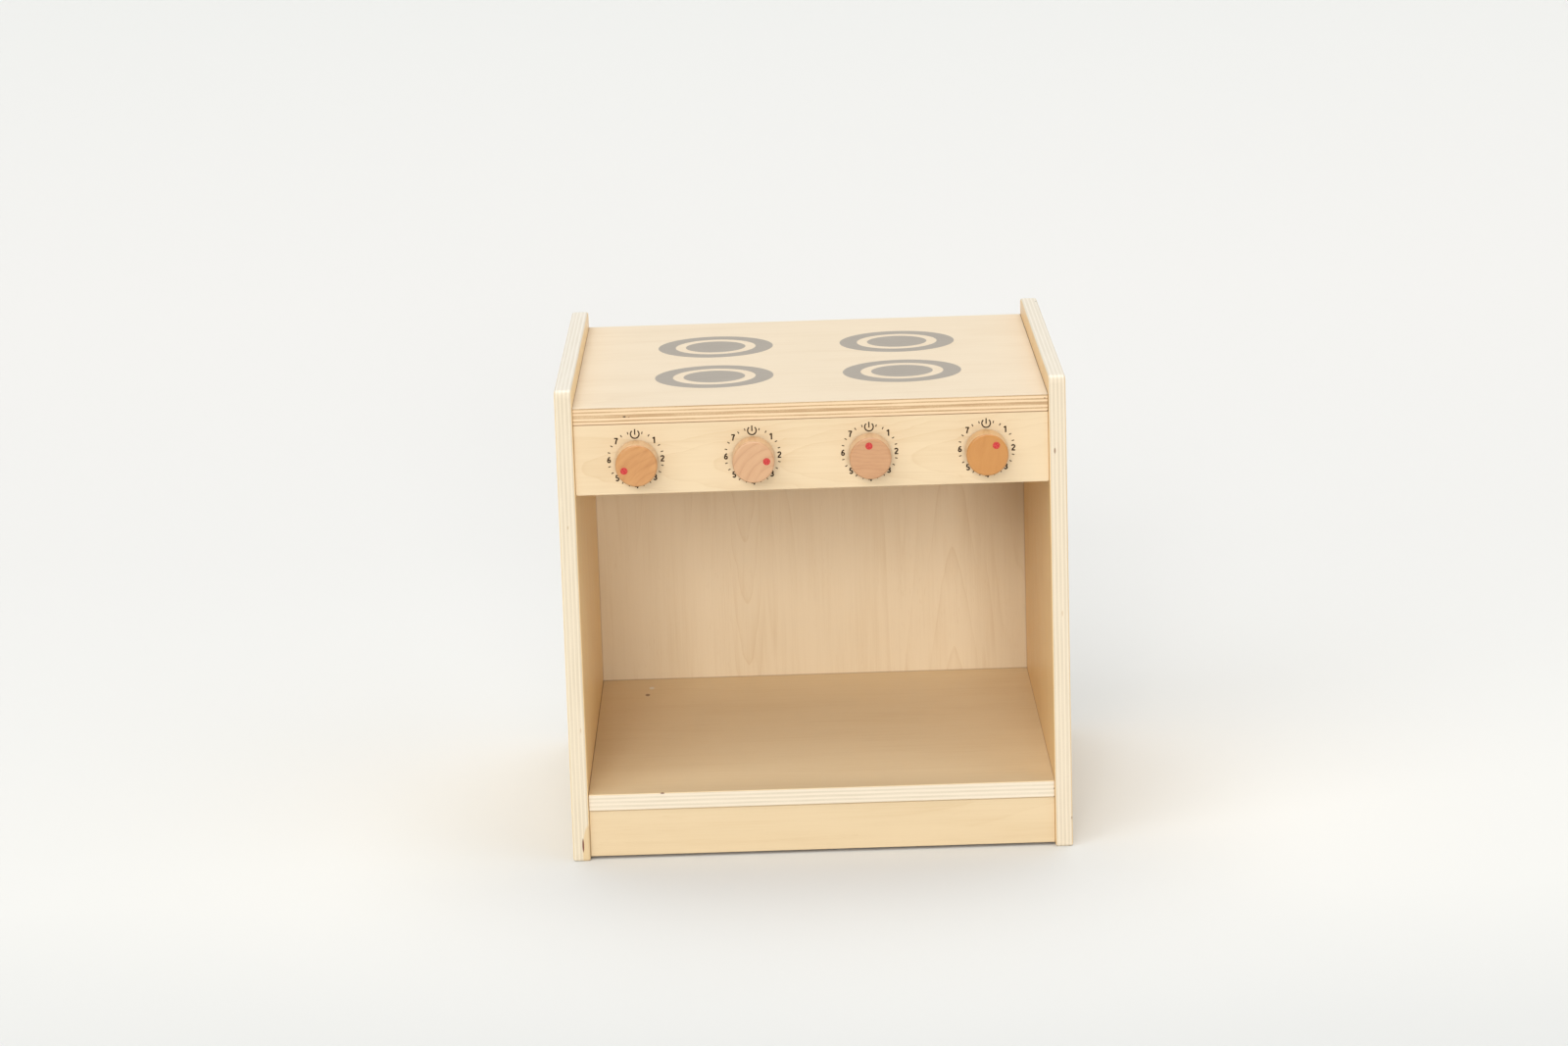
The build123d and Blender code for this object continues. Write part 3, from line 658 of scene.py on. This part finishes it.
def printed(name, strokes, material, body, map3):
    """One closed thin plate from strokes (points, width); overlaps are merged first."""
    points, quads = [], []
    for line, width in strokes:
        left, right = sides(line, width)
        for i in range(len(line) - 1):
            quad = [left[i], right[i], right[i + 1], left[i + 1]]
            area = sum(quad[j][0] * quad[(j + 1) % 4][1] - quad[(j + 1) % 4][0] * quad[j][1] for j in range(4))
            if area < 0:
                quad.reverse()
            quads.append(list(range(len(points), len(points) + 4)))
            points += [Vector(p) for p in quad]
    verts, _, faces, _, _, source = delaunay_2d_cdt(points, [], quads, 1, 1e-4, True)
    faces = [f for f, made_of in zip(faces, source) if made_of]
    bm = bmesh.new()
    used = sorted({i for f in faces for i in f})
    low = {i: bm.verts.new(map3(verts[i].x, verts[i].y, 0)) for i in used}
    top = {i: bm.verts.new(map3(verts[i].x, verts[i].y, 1)) for i in used}
    count = {}
    for f in faces:
        bm.faces.new([top[i] for i in f])
        bm.faces.new([low[i] for i in reversed(f)])
        for p, q in zip(f, f[1:] + f[:1]):
            count[(p, q)] = count.get((p, q), 0) + 1
    for p, q in count:
        if (q, p) not in count:
            bm.faces.new([top[q], top[p], low[p], low[q]])
    bmesh.ops.recalc_face_normals(bm, faces=bm.faces)
    me = bpy.data.meshes.new(name)
    bm.to_mesh(me)
    bm.free()
    o = bpy.data.objects.new(name, me)
    scene.collection.objects.link(o)
    me.materials.append(material)
    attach(o, body)
    return o


def ring_band(name, cx, cy, r0, r1, z_low, z_top, material, body, seg=144):
    # a printed ring or disc: closed, with a hair of thickness
    bm = bmesh.new()
    loops = []
    radii = [(r1, z_low), (r1, z_top - 0.00001), (r1 - 0.00005, z_top)]
    if r0 > 0:
        radii += [(r0 + 0.00005, z_top), (r0, z_top - 0.00001), (r0, z_low)]
    for r, z in radii:
        loops.append(
            [
                bm.verts.new((cx + r * math.cos(2 * math.pi * i / seg), cy + r * math.sin(2 * math.pi * i / seg), z))
                for i in range(seg)
            ]
        )
    pairs = list(zip(loops[:-1], loops[1:]))
    if r0 > 0:
        pairs.append((loops[-1], loops[0]))
    for a, b in pairs:
        for i in range(seg):
            j = (i + 1) % seg
            bm.faces.new((a[i], a[j], b[j], b[i]))
    if r0 <= 0:
        bm.faces.new(list(reversed(loops[0])))
        bm.faces.new(loops[-1])
    bmesh.ops.recalc_face_normals(bm, faces=bm.faces)
    me = bpy.data.meshes.new(name)
    bm.to_mesh(me)
    bm.free()
    o = bpy.data.objects.new(name, me)
    scene.collection.objects.link(o)
    me.materials.append(material)
    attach(o, body)
    return o


BURNER_X = 0.0835
BURNER_Y = (Y_FRONT + 0.131, Y_FRONT + 0.276)
n = 0
for by in BURNER_Y:
    for bx in (-BURNER_X, BURNER_X):
        n += 1
        for part, r0, r1 in (("ring", 0.0368, 0.0527), ("disc", 0.0, 0.0274)):
            ring_band("burner_%s_%d" % (part, n), bx, by, r0, r1, HOB_Z - 0.0002, HOB_Z + 0.00006, GREY, "carcass")


def sides(points, width):
    """The two sides of a line of the given width, mitred at its corners."""
    left, right = [], []
    n = len(points)
    for i in range(n):
        here = Vector(points[i])
        before = (here - Vector(points[i - 1])).normalized() if i else None
        after = (Vector(points[i + 1]) - here).normalized() if i < n - 1 else None
        along = ((before or after) + (after or before)).normalized()
        across = Vector((-along.y, along.x))
        one = after or before
        reach = width / 2 / max(0.6, abs(across.dot(Vector((-one.y, one.x)))))
        left.append(tuple(here + across * reach))
        right.append(tuple(here - across * reach))
    return left, right


def arc(cx, cy, rx, ry, a0, a1, steps=18):
    return [
        (cx + rx * math.cos(math.radians(a0 + (a1 - a0) * i / steps)), cy + ry * math.sin(math.radians(a0 + (a1 - a0) * i / steps)))
        for i in range(steps + 1)
    ]


# numerals in a box 0.62 wide and 1 high, drawn as strokes
W = 0.218
DIGITS = {
    1: [([(0.12, 0.74), (0.40, 0.95)], W * 0.9), ([(0.40, 0.0), (0.40, 1.0)], W)],
    2: [(arc(0.31, 0.70, 0.215, 0.205, 170, -10, 14) + [(0.47, 0.55), (0.30, 0.36), (0.13, 0.17)], W), ([(0.05, 0.085), (0.60, 0.085)], W * 0.9)],
    3: [(arc(0.29, 0.71, 0.19, 0.195, 160, -90, 16), W), (arc(0.30, 0.29, 0.215, 0.20, 90, -160, 18), W), ([(0.20, 0.51), (0.33, 0.51)], W * 0.85)],
    4: [([(0.44, 0.0), (0.44, 1.0)], W), ([(0.44, 0.93), (0.09, 0.34)], W * 0.9), ([(0.02, 0.29), (0.62, 0.29)], W * 0.85)],
    5: [([(0.13, 0.91), (0.56, 0.91)], W * 0.9), ([(0.17, 0.98), (0.12, 0.50)], W * 0.9), (arc(0.30, 0.32, 0.215, 0.225, 128, -155, 20), W)],
    6: [(arc(0.33, 0.30, 0.20, 0.205, 0, 370, 28), W), ([(0.15, 0.36), (0.17, 0.55), (0.26, 0.75), (0.41, 0.87), (0.52, 0.80)], W * 0.9)],
    7: [([(0.05, 0.91), (0.60, 0.91)], W * 0.9), ([(0.55, 0.90), (0.36, 0.55), (0.24, 0.0)], W)],
}


def dial_marks(name, cx):
    strokes = []
    for i in range(1, 8):
        a = math.radians(45 * i)
        x0, z0 = 23.1 * math.sin(a), 23.1 * math.cos(a)
        h = 5.6
        for pts, w in DIGITS[i]:
            strokes.append(([(x0 + (px - 0.33) * h, z0 + (pz - 0.5) * h) for px, pz in pts], w * h))
    for i in range(24):
        if i % 3:
            a = math.radians(15 * i)
            strokes.append(([(r * math.sin(a), r * math.cos(a)) for r in (22.6, 24.7)], 0.85))
    # standby sign at the top
    strokes.append(([(x, z + 22.0) for x, z in arc(0, 0, 3.7, 3.7, 130, 410, 34)], 1.1))
    strokes.append(([(0.0, 21.4), (0.0, 26.4)], 1.1))
    return printed(
        name,
        strokes,
        INK,
        "carcass",
        lambda u, v, h: (cx + u * MM, CONTROL_Y + 0.0002 - 0.00026 * h, DATUM + DIAL_Z + v * MM),
    )


for i, x in enumerate(DIAL_XS):
    dial_marks("dial_marks_%d" % (i + 1), x)


# ---------------------------------------------------------- floor and light
# painted light and shade on the floor: its tone rises in a band about the stove, lifting the shadow the stove casts
# there, and falls off towards the front and far away
FLOOR_PAINTED_LIGHT = [
    (0.0, (0.700, 0.706, 0.690, 1)), (0.076, (0.705, 0.710, 0.692, 1)), (0.114, (0.775, 0.775, 0.748, 1)), (0.162, (0.770, 0.770, 0.746, 1)),
    (0.24, (0.750, 0.746, 0.724, 1)), (0.4, (0.760, 0.753, 0.730, 1)), (1.0, (0.728, 0.735, 0.714, 1)),
]


def floor_plane():
    bm = bmesh.new()
    r, seg = 120.0, 64
    rings = [0.0, 0.6, 1.2, 2.4, 5.0, 12.0, 30.0, r]
    centre = bm.verts.new((0, 0, 0))
    last = None
    for rr in rings[1:]:
        loop = [bm.verts.new((rr * math.cos(2 * math.pi * i / seg), rr * math.sin(2 * math.pi * i / seg), 0)) for i in range(seg)]
        for i in range(seg):
            j = (i + 1) % seg
            if last is None:
                bm.faces.new((centre, loop[i], loop[j]))
            else:
                bm.faces.new((last[i], loop[i], loop[j], last[j]))
        last = loop
    me = bpy.data.meshes.new("studio_floor")
    bm.to_mesh(me)
    bm.free()
    o = bpy.data.objects.new("studio_floor", me)
    scene.collection.objects.link(o)
    m = Mat("studio_floor")
    c = m.coords()
    n = m.noise(m.vec(m.mul(c[0], 1 / 900.0), m.mul(c[1], 1 / 900.0), 0.0), detail=2.0)
    depth = m.add(c[1], m.mul(m.sub(n, 0.5), 300.0))
    g = m.range(depth, -1500.0, 9000.0, 0.0, 1.0, smooth=False)
    # painted light: the depth ramp brightens the floor about the stove
    m.set("Base Color", m.ramp(g, FLOOR_PAINTED_LIGHT))
    m.set("Roughness", 0.85)
    m.set("Specular IOR Level", 0.15)
    me.materials.append(m.m)


floor_plane()

world = bpy.data.worlds.new("studio")
scene.world = world
world.use_nodes = True
bg = world.node_tree.nodes["Background"]
bg.inputs[0].default_value = (1.0, 1.0, 1.0, 1)
bg.inputs[1].default_value = 0.20


def softlight(name, azimuth, elevation, spread, strength, colour=(1, 1, 1), mirrored=True):
    # a very large soft source far away: azimuth 0 is in front, positive to the right
    a, e = math.radians(azimuth), math.radians(elevation)
    data = bpy.data.lights.new(name, "SUN")
    data.angle = math.radians(spread)
    data.energy = math.pi * strength
    data.color = colour
    o = bpy.data.objects.new(name, data)
    scene.collection.objects.link(o)
    d = Vector((math.sin(a) * math.cos(e), -math.cos(a) * math.cos(e), math.sin(e)))
    o.location = d * 3.0
    o.rotation_mode = "QUATERNION"
    o.rotation_quaternion = (-d).to_track_quat("-Z", "Y")
    o.visible_glossy = mirrored  # the narrow front lamps are diffused: no mirror image of them in the varnish


softlight("front_high", -8, 20, 14, 0.275, mirrored=False)
softlight("front_mid", 0, 16, 10, 0.02, mirrored=False)
softlight("front_low", 6, 10, 10, 0.225, mirrored=False)
softlight("front_left", -35, 12, 50, 0.028)
softlight("key", -35, 42, 50, 0.349)
softlight("front_right", 60, 35, 50, 0.132)
softlight("side_right", 100, 50, 50, 0.058)
softlight("back_top", 180, 68, 50, 0.36)
softlight("top", 180, 86, 60, 0.19)

# ------------------------------------------------------------------- camera
cam_data = bpy.data.cameras.new("camera")
cam_data.sensor_width = 36.0
cam_data.lens = 4382.94 * 36.0 / 1600.0
cam_data.clip_start, cam_data.clip_end = 0.1, 200.0
cam = bpy.data.objects.new("camera", cam_data)
scene.collection.objects.link(cam)
right = Vector((0.99951211, -0.00697784, -0.03044411))
up = Vector((0.03123349, 0.22152039, 0.97465542))
fwd = Vector((0.000057, 0.97513078, -0.22163025))
rot = Matrix((right, up, -fwd)).transposed().to_4x4()
cam.matrix_world = Matrix.Translation((-0.02581, -3.62388 + Y_FRONT, 1.12194 + DATUM)) @ rot
scene.camera = cam
